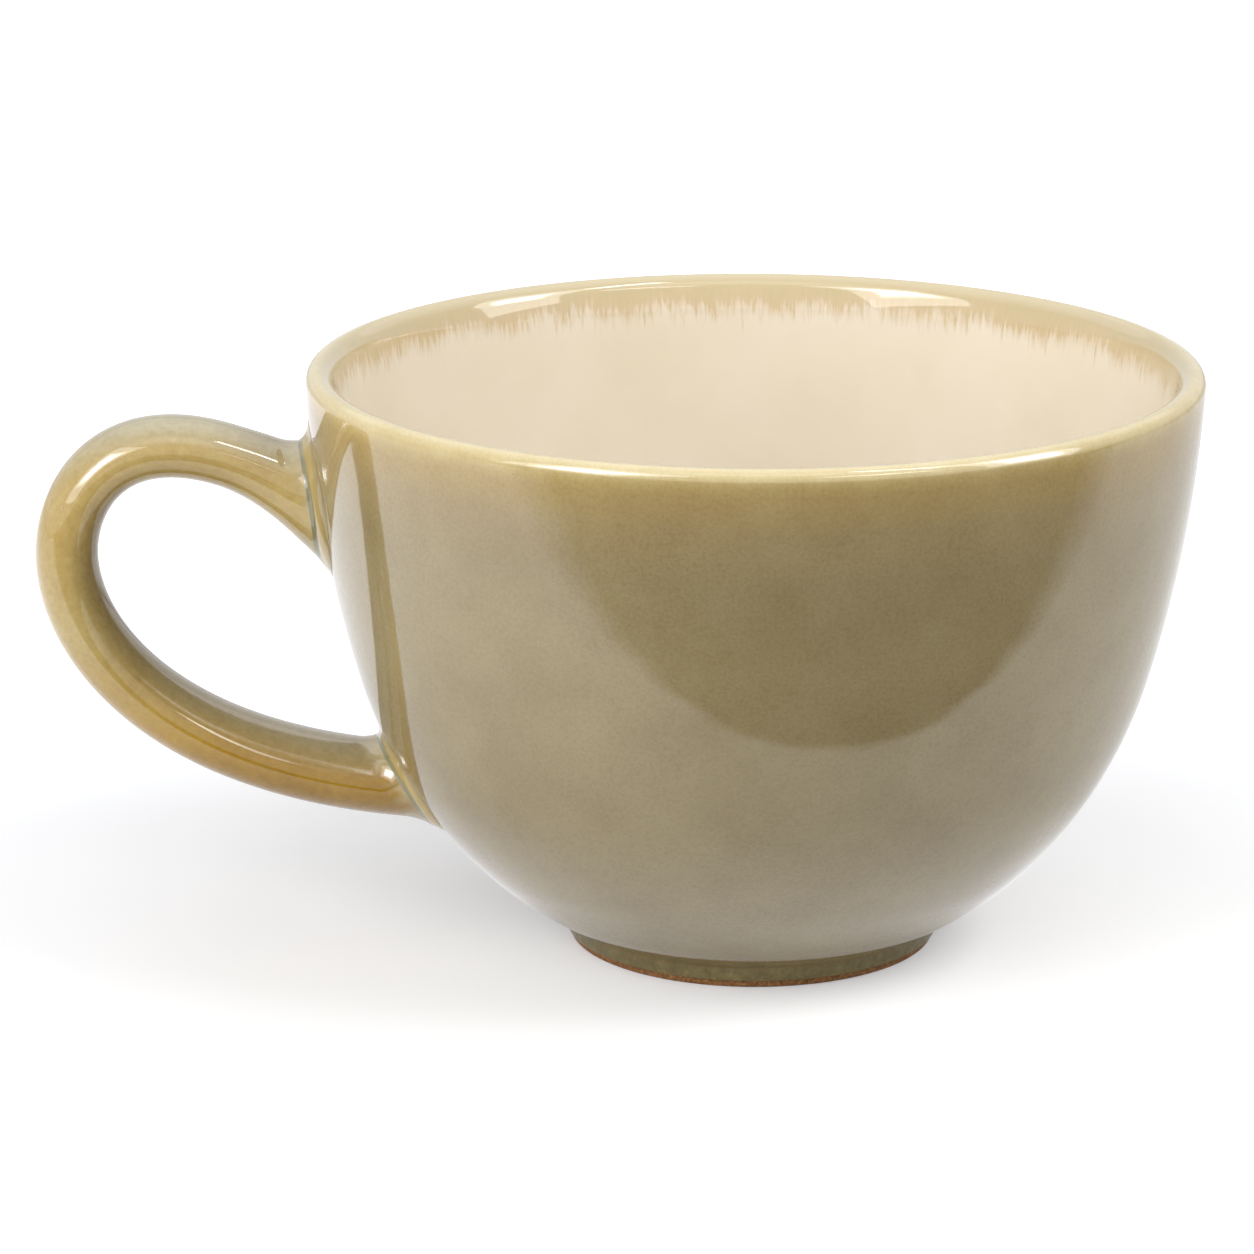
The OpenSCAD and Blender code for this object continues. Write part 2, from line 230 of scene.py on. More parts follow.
def meet(turn, outset, above, held, free):
    """Place along the strap where each of its lines passes the surface above the clay, by halving the stretch
    between a place within it and a place outside it."""
    held, free = np.full(turn.shape, held), np.full(turn.shape, free)
    for _ in range(halvings):
        s = (held + free) / 2
        p = strap(s, turn, outset)
        in_wall = np.hypot(p[..., 0], p[..., 1]) < bowl_r(p[..., 2], above)
        held, free = np.where(in_wall, s, held), np.where(in_wall, free, s)
    return (held + free) / 2


def shell(name, points, finish, stands_for, poles=False, across=None):
    """A closed piece over a grid of points, rows by steps around: each step joins the next and the last the
    first. The last row joins the first row too, unless poles closes both ends with a point. Its faces point
    outward: the sum of the corners' triple products, which is the volume, has to come out positive."""
    rows, steps = points.shape[:2]
    number = np.arange(rows * steps).reshape(rows, steps)
    here = number[:-1] if poles else number
    there = number[1:] if poles else np.roll(number, -1, 0)
    quads = np.stack([here, np.roll(here, -1, 1), np.roll(there, -1, 1), there], -1).reshape(-1, 4)
    spots = points.reshape(-1, 3) / 1000
    fans = np.zeros((0, 3), int)
    if poles:
        spots = np.concatenate([spots, spots[number[0]].mean(0)[None], spots[number[-1]].mean(0)[None]])
        first, last = number[0], number[-1]
        fans = np.concatenate([
            np.stack([np.roll(first, -1), first, np.full(steps, rows * steps)], -1),
            np.stack([last, np.roll(last, -1), np.full(steps, rows * steps + 1)], -1)])
    tris = np.concatenate([quads[:, [0, 1, 2]], quads[:, [0, 2, 3]], fans])
    if np.einsum("ij,ij->i", spots[tris[:, 0]], np.cross(spots[tris[:, 1]], spots[tris[:, 2]])).sum() < 0:
        quads, fans = quads[:, ::-1], fans[:, ::-1]
    corners = np.concatenate([quads.ravel(), fans.ravel()])
    starts = np.concatenate([np.arange(len(quads)) * 4, len(quads) * 4 + np.arange(len(fans)) * 3])
    mesh = bpy.data.meshes.new(name)
    mesh.vertices.add(len(spots))
    mesh.loops.add(len(corners))
    mesh.polygons.add(len(starts))
    mesh.vertices.foreach_set("co", spots.astype(np.float32).ravel())
    mesh.loops.foreach_set("vertex_index", corners.astype(np.int32))
    mesh.polygons.foreach_set("loop_start", starts.astype(np.int32))
    mesh.update(calc_edges=True)
    mesh.validate()
    mesh.polygons.foreach_set("use_smooth", np.ones(len(starts), bool))
    mesh.set_sharp_from_angle(angle=radians(sharp_angle))
    if across is not None:
        values = mesh.attributes.new("across", "FLOAT", "POINT").data
        values.foreach_set("value", across.astype(np.float32).ravel())
    mesh.materials.append(finish)
    piece = bpy.data.objects.new(name, mesh)
    bpy.context.scene.collection.objects.link(piece)
    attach(piece, "root")
    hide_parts(*stands_for)


def coat(surface):
    """A profile's surface and the same profile under the glaze, as one closed outline."""
    return np.concatenate([surface(0.0), surface(glaze_t)[::-1]])


def linear(code):
    """An sRGB hex colour as linear red, green, blue and an alpha of one."""
    c = np.array([int(code[i:i + 2], 16) for i in (1, 3, 5)]) / 255
    return (*np.where(c <= 0.04045, c / 12.92, ((c + 0.055) / 1.055) ** 2.4), 1.0)


def add(tree, kind, sockets=(), out=0, stops=(), **settings):
    """Adds a node with its settings, puts colours at the stops of a ramp, fills its inputs by name or number
    with a value, a hex colour or another node's output, and gives back one of its own outputs."""
    node = tree.nodes.new(kind)
    for key, value in settings.items():
        setattr(node, key, value)
    for number, (place, code) in enumerate(stops):
        marks = node.color_ramp.elements
        mark = marks[number] if number < len(marks) else marks.new(place)
        mark.position, mark.color = place, linear(code)
    for key, value in dict(sockets).items():
        if isinstance(value, bpy.types.NodeSocket):
            tree.links.new(value, node.inputs[key])
        else:
            node.inputs[key].default_value = linear(value) if isinstance(value, str) else value
    return node.outputs[out] if node.outputs else node


def fired(name, colour, roughness, ior, swell, depth):
    """A fired surface: the colour that a function gives on the piece's own millimetres, a gloss, and a bump
    of soft swells of a size in millimetres and a depth in micrometres."""
    material = bpy.data.materials.new(name)
    material.use_nodes = True
    tree = material.node_tree
    tree.nodes.clear()
    place = add(tree, "ShaderNodeTexCoord", out="Object")
    mm = add(tree, "ShaderNodeVectorMath", {0: place, 3: 1000.0}, operation="SCALE")
    swells = add(tree, "ShaderNodeTexNoise", {"Vector": mm, "Scale": 1 / swell, "Detail": 1.0})
    bump = add(tree, "ShaderNodeBump", {"Height": swells, "Distance": depth / 1e6, "Strength": 1.0})
    shader = add(tree, "ShaderNodeBsdfPrincipled", {
        "Base Color": colour(tree, mm), "Roughness": roughness, "IOR": ior, "Normal": bump})
    add(tree, "ShaderNodeOutputMaterial", {"Surface": shader})
    return material


def mottled(tree, mm, colour, cloud_size, mottle_size, speck_size):
    """A glaze colour broken up at three sizes in millimetres: clouds, fine mottles and sparse iron specks."""
    clouds = add(tree, "ShaderNodeTexNoise", {
        "Vector": mm, "Scale": 1 / cloud_size, "Detail": 3.0, "Roughness": 0.55})
    mottle = add(tree, "ShaderNodeTexNoise", {
        "Vector": mm, "Scale": 1 / mottle_size, "Detail": 5.0, "Roughness": 0.75})
    specks = add(tree, "ShaderNodeTexNoise", {
        "Vector": mm, "Scale": 1 / speck_size, "Detail": 2.0, "Roughness": 0.5})
    cloud_tone = add(tree, "ShaderNodeValToRGB", {0: clouds}, stops=((0.25, "#B2AFAA"), (0.75, "#C6C6C5")))
    mottle_tone = add(tree, "ShaderNodeValToRGB", {0: mottle}, stops=((0.25, "#A8A59F"), (0.75, "#CFCFCD")))
    for tone in (cloud_tone, mottle_tone):
        colour = add(tree, "ShaderNodeMix", {0: 1.0, 6: colour, 7: tone}, 2,
                     data_type="RGBA", blend_type="SOFT_LIGHT")
    dark = add(tree, "ShaderNodeMapRange", {0: specks, 1: 0.69, 2: 0.78, 3: 0.0, 4: 0.4})
    return add(tree, "ShaderNodeMix", {0: dark, 6: colour, 7: "#5F4C2C"}, 2, data_type="RGBA")


def outside_colour(tree, mm):
    """Olive glaze over iron-bearing stoneware: pale honey on the lip, where it draws thin, golden olive
    within 5 mm below it, grey olive from 16 mm down and darker toward the foot."""
    height = add(tree, "ShaderNodeSeparateXYZ", {0: mm}, "Z")
    wander = add(tree, "ShaderNodeTexNoise", {"Vector": mm, "Scale": 1 / 5, "Detail": 3.0})
    level = add(tree, "ShaderNodeMath", {0: wander, 1: 1.6, 2: height}, operation="MULTIPLY_ADD")
    drop = add(tree, "ShaderNodeMapRange", {0: level, 1: rim_z + 0.8, 2: rim_z - 15.2})
    upper = add(tree, "ShaderNodeValToRGB", {0: drop}, stops=(
        (0.0, "#D8C89C"), (0.06, "#D0BE8E"), (0.115, "#C1AB77"), (0.16, "#B6A06C"), (0.24, "#AC9565"),
        (0.36, "#A79266"), (0.55, "#9F8D68"), (1.0, "#958765")))
    low = add(tree, "ShaderNodeMapRange", {0: height, 1: 56.0, 2: 12.0})
    colour = add(tree, "ShaderNodeMix", {0: low, 6: upper, 7: "#7D7153"}, 2, data_type="RGBA")
    return mottled(tree, mm, colour, 11, 0.55, 0.55)


def inside_colour(tree, mm):
    """Cream liner glaze under a rim band that ran: peach and tan for 4 mm below the lip, then upright streaks
    under 1 mm wide that feather out 5 to 9 mm down, over a cream with faint clouds."""
    tall = add(tree, "ShaderNodeVectorMath", {0: mm, 1: (1.0, 1.0, 0.06)}, operation="MULTIPLY")
    streaks = add(tree, "ShaderNodeTexNoise", {
        "Vector": tall, "Scale": 1 / 0.6, "Detail": 3.0, "Roughness": 0.6})
    sharp = add(tree, "ShaderNodeMath", {0: streaks, 1: 3.0}, operation="POWER")
    drips = add(tree, "ShaderNodeTexNoise", {
        "Vector": tall, "Scale": 1 / 3.2, "Detail": 2.0, "Roughness": 0.5})
    clouds = add(tree, "ShaderNodeTexNoise", {"Vector": mm, "Scale": 1 / 18, "Detail": 3.0})
    cream = add(tree, "ShaderNodeValToRGB", {0: clouds}, stops=((0.35, "#E1D7C3"), (0.65, "#E5DBCA")))
    height = add(tree, "ShaderNodeSeparateXYZ", {0: mm}, "Z")
    level = add(tree, "ShaderNodeMath", {0: sharp, 1: 9.0, 2: height}, operation="MULTIPLY_ADD")
    level = add(tree, "ShaderNodeMath", {0: drips, 1: 4.0, 2: level}, operation="MULTIPLY_ADD")
    band = add(tree, "ShaderNodeMapRange", {0: level, 1: rim_z - 3.6, 2: rim_z + 1.9})
    runs = add(tree, "ShaderNodeValToRGB", {0: band}, stops=(
        (0.0, "#D9D0C3"), (0.3, "#D7C5A9"), (0.6, "#CCB792"), (1.0, "#C6B58C")))
    cover = add(tree, "ShaderNodeMapRange", {0: band, 1: 0.0, 2: 0.55})
    return add(tree, "ShaderNodeMix", {0: cover, 6: cream, 7: runs}, 2, data_type="RGBA")


def rim_colour(tree, mm):
    """The outside's colour from the crown of the lip outward, and the inside's colour from there inward."""
    flat = add(tree, "ShaderNodeVectorMath", {0: mm, 1: (1.0, 1.0, 0.0)}, operation="MULTIPLY")
    radius = add(tree, "ShaderNodeVectorMath", {0: flat}, "Value", operation="LENGTH")
    side = add(tree, "ShaderNodeMapRange", {0: radius, 1: lip_c[0] - 1.3, 2: lip_c[0] + 0.2})
    return add(tree, "ShaderNodeMix", {0: side, 6: inside_colour(tree, mm), 7: outside_colour(tree, mm)}, 2,
               data_type="RGBA")


def strap_colour(tree, mm):
    """The same glaze on the strap, thinner: honey above, gold toward the lower root, painted shade of dark
    olive on the side that faces the bowl, a painted grey green reflection of the surround on the sides that
    face up, and wisps of grey green at both roots."""
    height = add(tree, "ShaderNodeSeparateXYZ", {0: mm}, "Z")
    rise = add(tree, "ShaderNodeMapRange", {0: height, 1: 20.0, 2: 64.0})
    colour = add(tree, "ShaderNodeValToRGB", {0: rise}, stops=(
        (0.0, "#8A6818"), (0.3, "#A58332"), (0.65, "#B09B65"), (1.0, "#B49C63")))
    normal = add(tree, "ShaderNodeNewGeometry", out="Normal")
    # Painted shade: the side of the strap that faces the bowl is darkened to dark olive
    facing_in = add(tree, "ShaderNodeSeparateXYZ", {0: normal}, "X")
    shade_facing_bowl = add(tree, "ShaderNodeMapRange", {0: facing_in, 1: 0.25, 2: 0.95, 3: 0.0, 4: 0.75})
    colour = add(tree, "ShaderNodeMix", {0: shade_facing_bowl, 6: colour, 7: "#6A5D3F"}, 2, data_type="RGBA")
    # Painted reflection: faces that look up turn grey green, standing in for the sheen of the grey surround and
    # the light above; thick is how far a face looks up
    facing_up = add(tree, "ShaderNodeSeparateXYZ", {0: normal}, "Z")
    thick = add(tree, "ShaderNodeMapRange", {0: facing_up, 1: 0.45, 2: 0.95, 3: 0.0, 4: 0.65})
    colour = add(tree, "ShaderNodeMix", {0: thick, 6: colour, 7: "#A3A18C"}, 2, data_type="RGBA")
    near = add(tree, "ShaderNodeAttribute", {}, "Fac", attribute_name="across")
    wisps = add(tree, "ShaderNodeTexNoise", {"Vector": mm, "Scale": 1 / 2.2, "Detail": 3.0})
    pooled = add(tree, "ShaderNodeMath", {0: near, 1: wisps}, operation="MULTIPLY")
    pooled = add(tree, "ShaderNodeMapRange", {0: pooled, 1: 0.25, 2: 0.6, 3: 0.0, 4: 0.75})
    colour = add(tree, "ShaderNodeMix", {0: pooled, 6: colour, 7: "#A7A48C"}, 2, data_type="RGBA")
    return mottled(tree, mm, colour, 10, 1.2, 0.6)


def bead_colour(tree, mm):
    """Glaze pooled in the joint: grey green in the crease, gold on the bead, olive at the wall."""
    across = add(tree, "ShaderNodeAttribute", {}, "Fac", attribute_name="across")
    wander = add(tree, "ShaderNodeTexNoise", {"Vector": mm, "Scale": 1 / 2.5, "Detail": 3.0})
    level = add(tree, "ShaderNodeMath", {0: wander, 1: 0.2, 2: across}, operation="MULTIPLY_ADD")
    return add(tree, "ShaderNodeValToRGB", {0: level}, stops=(
        (0.06, "#7E7B60"), (0.18, "#858167"), (0.28, "#AC965A"), (0.72, "#B09A62"), (0.97, "#9C8A60")))


def foot_colour(tree, mm):
    """The bowl's olive glaze painted darker on the foot, which is painted shade where it stands under the bowl,
    with a thread of amber brown where it meets the bowl.
    """
    mottle = add(tree, "ShaderNodeTexNoise", {
        "Vector": mm, "Scale": 1 / 1.4, "Detail": 4.0, "Roughness": 0.7})
    glaze = add(tree, "ShaderNodeValToRGB", {0: mottle}, stops=(
        (0.3, "#5C5232"), (0.5, "#6C603C"), (0.72, "#7D7049")))
    height = add(tree, "ShaderNodeSeparateXYZ", {0: mm}, "Z")
    brown = add(tree, "ShaderNodeMapRange", {0: height, 1: foot_h - 0.4, 2: foot_h, 3: 0.0, 4: 0.7})
    return add(tree, "ShaderNodeMix", {0: brown, 6: glaze, 7: "#7A5A2C"}, 2, data_type="RGBA")


def toasted_colour(tree, mm):
    """Orange brown grog of 0.5 mm in a darker clay."""
    grog = add(tree, "ShaderNodeTexNoise", {"Vector": mm, "Scale": 1 / 0.5, "Detail": 4.0, "Roughness": 0.7})
    return add(tree, "ShaderNodeValToRGB", {0: grog}, stops=(
        (0.3, "#4E331A"), (0.5, "#78512B"), (0.7, "#A47848")))


def clay_colour(tree, mm):
    """Buff clay with sand of 0.5 mm."""
    sand = add(tree, "ShaderNodeTexNoise", {"Vector": mm, "Scale": 1 / 0.5, "Detail": 4.0})
    return add(tree, "ShaderNodeValToRGB", {0: sand}, stops=((0.3, "#A98D68"), (0.7, "#CDB48E")))


# Olive stoneware glaze, dipped and fired glossy: a glassy skin over soft mottles and iron specks
olive_glaze = fired("olive_stoneware_glaze", outside_colour, 0.05, 1.65, 6.0, 6)
# Amber rim glaze, brushed over the lip: it breaks pale on the edge, meets the olive outside and runs inside
amber_glaze = fired("amber_rim_glaze", rim_colour, 0.05, 1.7, 3.5, 6)
# Cream liner glaze, poured and fired glossy: an opaque warm white that takes the run of the rim
cream_glaze = fired("cream_liner_glaze", inside_colour, 0.06, 1.7, 7.0, 6)
# Golden olive glaze on the pulled strap: thin over the curve, so the light runs along it in crisp lines
gold_glaze = fired("golden_olive_strap_glaze", strap_colour, 0.05, 1.65, 5.0, 10)
# Luting slip under pooled glaze: a grey green crease and a gold bead between the strap and the olive bowl
slip_glaze = fired("pooled_glaze_over_slip", bead_colour, 0.06, 1.65, 2.5, 14)
# Olive glaze on the foot and in its hollow, painted darker than on the bowl, which is painted shade under the
# bowl; left unpolished: a softer shine
shade_darkened_glaze = fired("olive_foot_glaze_painted_shade", foot_colour, 0.14, 1.45, 1.5, 16)
# Toasted stoneware, bare and wiped: a dull, sandy skin
toasted_clay = fired("toasted_bare_stoneware", toasted_colour, 0.75, 1.4, 0.5, 40)
# Fired stoneware under the glaze, hidden by the coats
buff_clay = fired("buff_stoneware", clay_colour, 0.8, 1.5, 0.5, 30)

for name in ("bowl_body", "handle"):
    nodes[name].data.materials.clear()
    nodes[name].data.materials.append(buff_clay)

# The coats of the bowl
cup = np.concatenate([inside(0.0)[::-1], inside(glaze_t)])
shell("olive_coat", thrown(coat(outside)), olive_glaze, ["outer_glaze"])
shell("rim_coat", thrown(coat(over_rim)), amber_glaze, ["rim_glaze"])
shell("cream_coat", thrown(cup), cream_glaze, ["liner_glaze"], poles=True)

# The foot ring, its bevels rounded by wear, the coat on its outer wall and the coat in its hollow
quarter = np.linspace(0, np.pi / 2, 7)
worn = foot_bevel * np.stack([np.sin(quarter), 1 - np.cos(quarter)], -1)
outer_low = np.array([foot_end_r - glaze_t - foot_bevel, 0]) + worn
inner_low = (np.array([foot_in_r + foot_bevel, 0]) + worn * [-1, 1])[::-1]
wall_rs = np.linspace(foot_end_r - glaze_t, foot_top_r - glaze_t, 8)[1:]
wall_zs = np.linspace(foot_bevel, foot_h, 8)[1:]
ring = np.concatenate([[[foot_in_r, foot_h]], inner_low, outer_low, np.stack([wall_rs, wall_zs], -1)])
shell("bare_foot", thrown(ring), toasted_clay, ["foot_ring"])
low_r = foot_end_r + foot_draw_w * bare_h / foot_h
lower_quarter = np.linspace(-np.pi / 2, 0, 6)
round_edge = glaze_t / 2 * np.stack([np.cos(lower_quarter), np.sin(lower_quarter)], -1)
round_edge = np.array([low_r - glaze_t / 2, bare_h + glaze_t / 2]) + round_edge
coat_rs = np.linspace(low_r, foot_top_r, 10)[2:]
coat_zs = np.linspace(bare_h, foot_h, 10)[2:]
foot_skin = np.concatenate([
    [[low_r - glaze_t, bare_h]],
    round_edge,
    np.stack([coat_rs, coat_zs], -1),
    [[foot_top_r - glaze_t, foot_h]]])
shell("foot_coat", thrown(foot_skin), shade_darkened_glaze, ["foot_glaze"])
disc_rs = np.linspace(pole_r, foot_in_r, 16)
disc = np.stack([disc_rs, np.full(len(disc_rs), foot_h - glaze_t)], -1)
hollow = np.concatenate([disc, (disc + [0, glaze_t])[::-1]])
shell("hollow_coat", thrown(hollow), shade_darkened_glaze, ["base_glaze"], poles=True)

# The coat of the strap, between the two places where it meets the slip, and how near each point is to a root
pool_h = 7.0
strap_turn = np.linspace(0, 2 * np.pi, strap_around, endpoint=False)
share = ((1 - np.cos(np.linspace(0, np.pi, strap_along))) / 2)[:, None]
layers = []
for outset in (0.0, -glaze_t):
    first = meet(strap_turn, np.full(strap_around, outset), slip_t, *upper_end)
    last = meet(strap_turn, np.full(strap_around, outset), slip_t, *lower_end)
    s = first + (last - first) * share
    layers.append(strap(s, np.broadcast_to(strap_turn, s.shape), np.full(s.shape, outset)))
strap_skin = np.concatenate([layers[0], layers[1][::-1]])
off_slip = np.hypot(strap_skin[..., 0], strap_skin[..., 1]) - bowl_r(strap_skin[..., 2], slip_t)
by_root = np.clip(1 - off_slip / pool_h, 0, 1)
shell("strap_coat", strap_skin, gold_glaze, ["handle_glaze"], across=by_root)

# The beads of slip: on both sides of the strap a crease, then a round bead that ends thin on the bowl's
# glaze, and above and below the strap a plain fillet, all closed underneath. Each point is given by how far
# it lies out from the strap, as a share of the bead's width, and by its height above the clay
bead_shares = np.array([-0.3, 0.0, 0.04, 0.09, 0.15, 0.24, 0.36, 0.5, 0.64, 0.77, 0.89, 1.0, 1.0, 0.4, -0.3])
bead_up = np.array([0.75, 2.2, 1.86, 1.62, 1.56, 1.6, 1.57, 1.42, 1.18, 0.91, 0.65, 0.44, 0.2, 0.2, 0.2])
fillet_up = np.array([0.75, 2.2, 1.98, 1.76, 1.55, 1.32, 1.08, 0.87, 0.7, 0.58, 0.5, 0.44, 0.2, 0.2, 0.2])
edge_up, bead_under_share, fillet_from, fillet_span = 0.44, 0.45, 0.45, 0.5
bead_turn = np.linspace(0, 2 * np.pi, 2 * strap_around, endpoint=False)
grid_turn = np.broadcast_to(bead_turn, (len(bead_up), len(bead_turn)))
filled = eased((np.abs(np.cos(grid_turn)) - fillet_from) / fillet_span)
# Name, solid, end of the strap, its upper side's sign, width, share of the full height, and the power of the
# share that gives the colour's place, which is higher where the crease is wider
beads = (("upper_bead", "upper_joint_slip", upper_end, 1, 2.6, 1.0, 1.0),
         ("lower_bead", "lower_joint_slip", lower_end, -1, 2.2, 0.75, 1.65))
for name, node, end, up, bead_w, full, grey in beads:
    over = (1 + np.cos(grid_turn) * up) / 2
    grid_out = bead_w * bead_shares[:, None] * (bead_under_share + (1 - bead_under_share) * over)
    grid_up = bead_up[:, None] + (fillet_up - bead_up)[:, None] * filled
    grid_up = np.where(grid_up > edge_up, edge_up + full * (grid_up - edge_up), grid_up)
    s = meet(grid_turn, grid_out, grid_up, *end)
    outward = np.broadcast_to(np.clip(bead_shares, 0, 1)[:, None] ** grey, grid_turn.shape)
    shell(name, strap(s, grid_turn, grid_out), slip_glaze, [node], across=outward)

# Studio: white paper under a white surround, soft boxes, and bright cards that only show as reflections
scene = bpy.context.scene
scene.view_settings.view_transform = "Standard"


def panel(name, corners, faces, surface):
    """A flat panel of the studio."""
    mesh = bpy.data.meshes.new(name)
    mesh.from_pydata(corners, [], faces)
    mesh.materials.append(surface)
    made = bpy.data.objects.new(name, mesh)
    scene.collection.objects.link(made)
    return made


# The paper ends in a straight edge in front of the mug, sharp close by and blurred farther off. Past it
# reflections see the dark room, and the camera sees it white all over. A little light of its own keeps it
# white away from the mug's shadow. All lengths are in metres from the mug's axis
edge_front, edge_slope = 0.104, -0.225
floor_size, floor_drop = 6.0, 0.00005
pale = bpy.data.materials.new("pale_floor")
pale.use_nodes = True
tree = pale.node_tree
tree.nodes.clear()
camera_ray = add(tree, "ShaderNodeLightPath", out="Is Camera Ray")
glossy_ray = add(tree, "ShaderNodeLightPath", out="Is Glossy Ray")
place = add(tree, "ShaderNodeTexCoord", out="Object")
floor_x = add(tree, "ShaderNodeSeparateXYZ", {0: place}, "X")
floor_y = add(tree, "ShaderNodeSeparateXYZ", {0: place}, "Y")
away = add(tree, "ShaderNodeVectorMath", {0: place}, "Value", operation="LENGTH")

# Where the dark room shows: past the edge, to every ray but the camera's
slant = add(tree, "ShaderNodeMath", {0: floor_x, 1: edge_slope, 2: edge_front}, operation="MULTIPLY_ADD")
past = add(tree, "ShaderNodeMath", {0: floor_y, 1: slant}, operation="ADD")
blur = add(tree, "ShaderNodeMapRange", {0: away, 1: 0.12, 2: 0.4, 3: 0.002, 4: 0.05})
blur_back = add(tree, "ShaderNodeMath", {0: blur, 1: -1.0}, operation="MULTIPLY")
bare = add(tree, "ShaderNodeMapRange", {0: past, 1: blur_back, 2: blur, 3: 1.0, 4: 0.0})
unseen = add(tree, "ShaderNodeMath", {0: 1.0, 1: camera_ray}, operation="SUBTRACT")
room = add(tree, "ShaderNodeMath", {0: unseen, 1: bare}, operation="MULTIPLY")

# Light to the camera: more with distance, by its square root
root = add(tree, "ShaderNodeMath", {0: away, 1: 0.5}, operation="POWER")
far = add(tree, "ShaderNodeMapRange", {0: root, 1: 0.28, 2: 0.75, 3: 0.27, 4: 0.85})

# Light in reflections: more to the sides than in front, less far off, more on the left, and a bright ring
# around the foot
apart = add(tree, "ShaderNodeMath", {0: floor_x}, operation="ABSOLUTE")
sideways = add(tree, "ShaderNodeMapRange", {0: apart, 1: 0.02, 2: 0.12, 3: 0.25, 4: 1.0})
fade = add(tree, "ShaderNodeMapRange", {0: away, 1: 0.25, 2: 0.6, 3: 1.0, 4: 0.4})
sideways = add(tree, "ShaderNodeMath", {0: sideways, 1: fade}, operation="MULTIPLY")
leftward = add(tree, "ShaderNodeMapRange", {0: floor_x, 1: -0.2, 2: 0.2, 3: 0.7, 4: 0.22})
shine = add(tree, "ShaderNodeMath", {0: sideways, 1: leftward}, operation="MULTIPLY")
ring_start = add(tree, "ShaderNodeMapRange", {0: away, 1: 0.03, 2: 0.038, 3: 0.0, 4: 0.5})
ring_end = add(tree, "ShaderNodeMapRange", {0: away, 1: 0.046, 2: 0.07, 3: 1.0, 4: 0.0})
shine = add(tree, "ShaderNodeMath", {0: ring_start, 1: ring_end, 2: shine}, operation="MULTIPLY_ADD")

lift = add(tree, "ShaderNodeMath", {0: camera_ray, 1: far}, operation="MULTIPLY")
lift = add(tree, "ShaderNodeMath", {0: glossy_ray, 1: shine, 2: lift}, operation="MULTIPLY_ADD")
paper = add(tree, "ShaderNodeBsdfDiffuse", {"Color": "#F4F4F3"})
glow = add(tree, "ShaderNodeEmission", {"Color": "#EBEEFA", "Strength": lift})
paper = add(tree, "ShaderNodeAddShader", {0: paper, 1: glow})
dark = add(tree, "ShaderNodeBsdfDiffuse", {"Color": "#505050"})
both = add(tree, "ShaderNodeMixShader", {0: room, 1: paper, 2: dark})
add(tree, "ShaderNodeOutputMaterial", {"Surface": both})
signs = ((-1, -1), (1, -1), (1, 1), (-1, 1))
floor_corners = [(x * floor_size, y * floor_size, -floor_drop) for x, y in signs]
panel("floor", floor_corners, [(0, 1, 2, 3)], pale)

# The surround is white to the camera, through clear things and in reflections, and dimmer as light
world = bpy.data.worlds.new("white_studio")
scene.world = world
world.use_nodes = True
tree = world.node_tree
tree.nodes.clear()
seen = add(tree, "ShaderNodeLightPath", out="Is Camera Ray")
through = add(tree, "ShaderNodeLightPath", out="Is Transmission Ray")
glossy = add(tree, "ShaderNodeLightPath", out="Is Glossy Ray")
seen = add(tree, "ShaderNodeMath", {0: seen, 1: through}, operation="MAXIMUM")
seen = add(tree, "ShaderNodeMath", {0: seen, 1: glossy}, operation="MAXIMUM")
level = add(tree, "ShaderNodeMapRange", {0: seen, 3: 0.42, 4: 1.0})
surround = add(tree, "ShaderNodeBackground", {"Color": "#FFFFFF", "Strength": level})
add(tree, "ShaderNodeOutputWorld", {"Surface": surround})

mug_middle = Vector((0, 0, 0.05))
card_distance = 1.0


def aimed(bearing, height, distance):
    """The turn and place of something flat at a bearing from the camera's side, an angle above the floor and
    a distance from the middle of the mug, which it faces."""
    turned = Euler((radians(90 - height), 0, radians(bearing)))
    return turned, turned.to_matrix() @ Vector((0, 0, distance)) + mug_middle


def soft_box(name, bearing, height, distance, width, tall, power):
    """A soft rectangular light turned to the mug, which reflections don't show."""
    lamp = bpy.data.lights.new(name, "AREA")
    lamp.shape = "RECTANGLE"
    lamp.size = width
    lamp.size_y = tall
    lamp.energy = power
    made = bpy.data.objects.new(name, lamp)
    scene.collection.objects.link(made)
    made.rotation_euler, made.location = aimed(bearing, height, distance)
    made.visible_glossy = False


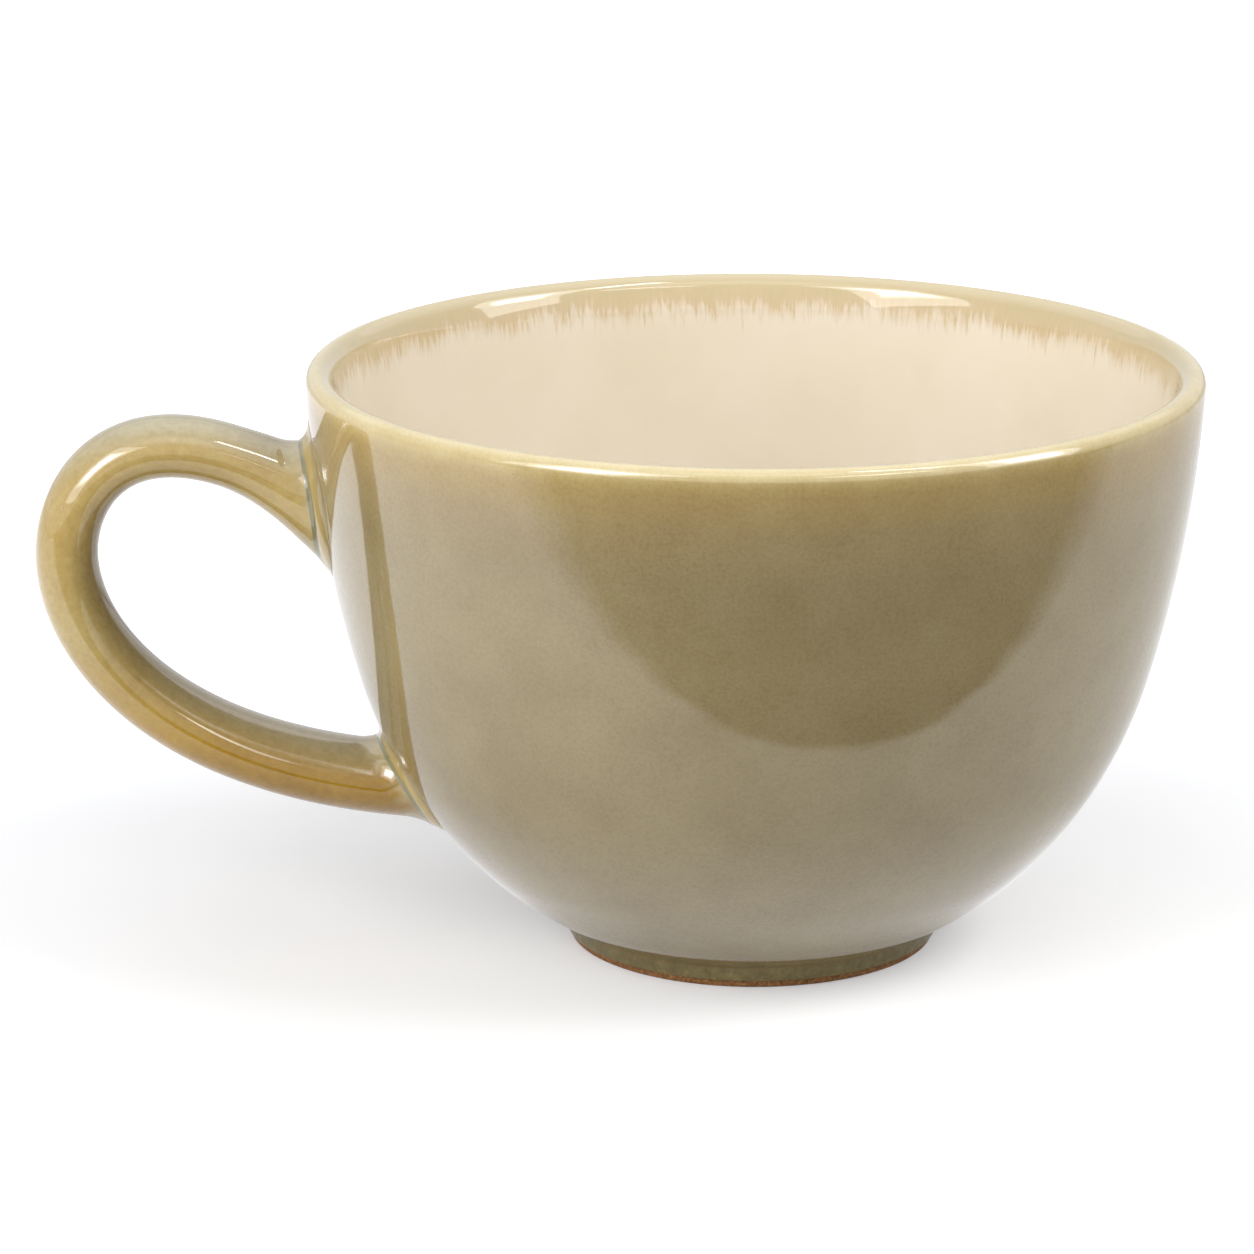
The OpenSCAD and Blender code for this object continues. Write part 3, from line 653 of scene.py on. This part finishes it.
def card(name, bearing, height, width, tall, lean, rim, core):
    """A bright card a metre from the mug and turned to it, its top leaning to the right by an angle, which
    only reflections see. It is even out to its rim, and brightens to a core in the middle."""
    lit = bpy.data.materials.new(name)
    lit.use_nodes = True
    tree = lit.node_tree
    tree.nodes.clear()
    inward = add(tree, "ShaderNodeAttribute", {}, "Fac", attribute_name="inward")
    level = add(tree, "ShaderNodeMapRange", {0: inward, 1: 0.35, 2: 0.75, 3: rim, 4: core})
    glow = add(tree, "ShaderNodeEmission", {"Strength": level})
    add(tree, "ShaderNodeOutputMaterial", {"Surface": glow})
    turned, middle = aimed(bearing, height, card_distance)
    turned = turned.to_matrix() @ Euler((0, 0, radians(-lean))).to_matrix()
    sides = ((-1, -1), (1, -1), (1, 1), (-1, 1), (0, 0))
    spots = [turned @ Vector((x * width / 2, y * tall / 2, 0)) + middle for x, y in sides]
    made = panel(name, spots, [(0, 1, 4), (1, 2, 4), (2, 3, 4), (3, 0, 4)], lit)
    values = made.data.attributes.new("inward", "FLOAT", "POINT").data
    values.foreach_set("value", [0.0, 0.0, 0.0, 0.0, 1.0])
    made.visible_camera = False
    made.visible_diffuse = False
    made.visible_shadow = False


# Each soft box: bearing and height in degrees, distance, width and height in metres, power in watts
soft_box("left_box", -60, 24, 1.3, 1.2, 1.0, 11.5)
soft_box("right_box", 72, 42, 1.2, 0.7, 0.6, 7.2)
soft_box("front_box", -5, 24, 1.5, 1.4, 0.9, 6.3)
# Each card: bearing and height in degrees, width and height in metres, lean, level of the rim and of the core
card("left_card", -49, 31, 0.6, 0.8, 15, 4.0, 22.0)
card("right_card", 74, 34, 0.48, 0.95, 20, 4.0, 22.0)
card("front_card", 30, 42, 0.42, 0.12, 0, 5.0, 9.0)
card("high_card", 68, 68, 0.1, 0.3, 0, 12.0, 16.0)
card("over_card", 0, 69, 1.2, 0.5, 0, 1.6, 2.2)
card("top_card", 180, 63, 2.0, 1.35, 0, 1.4, 2.0)

# Camera at the photograph's place, found from the outline of the bowl and the handle
lens = bpy.data.cameras.new("photo_camera")
lens.sensor_width = 36.0
lens.lens = 152.35
lens.clip_start = 0.01
lens.clip_end = 50.0
camera = bpy.data.objects.new("photo_camera", lens)
scene.collection.objects.link(camera)
camera.location = (-0.06537, -0.74715, 0.25634)
look_down, look_right = 15.637, 3.585
camera.rotation_euler = (radians(90 - look_down), 0, radians(-look_right))
scene.camera = camera
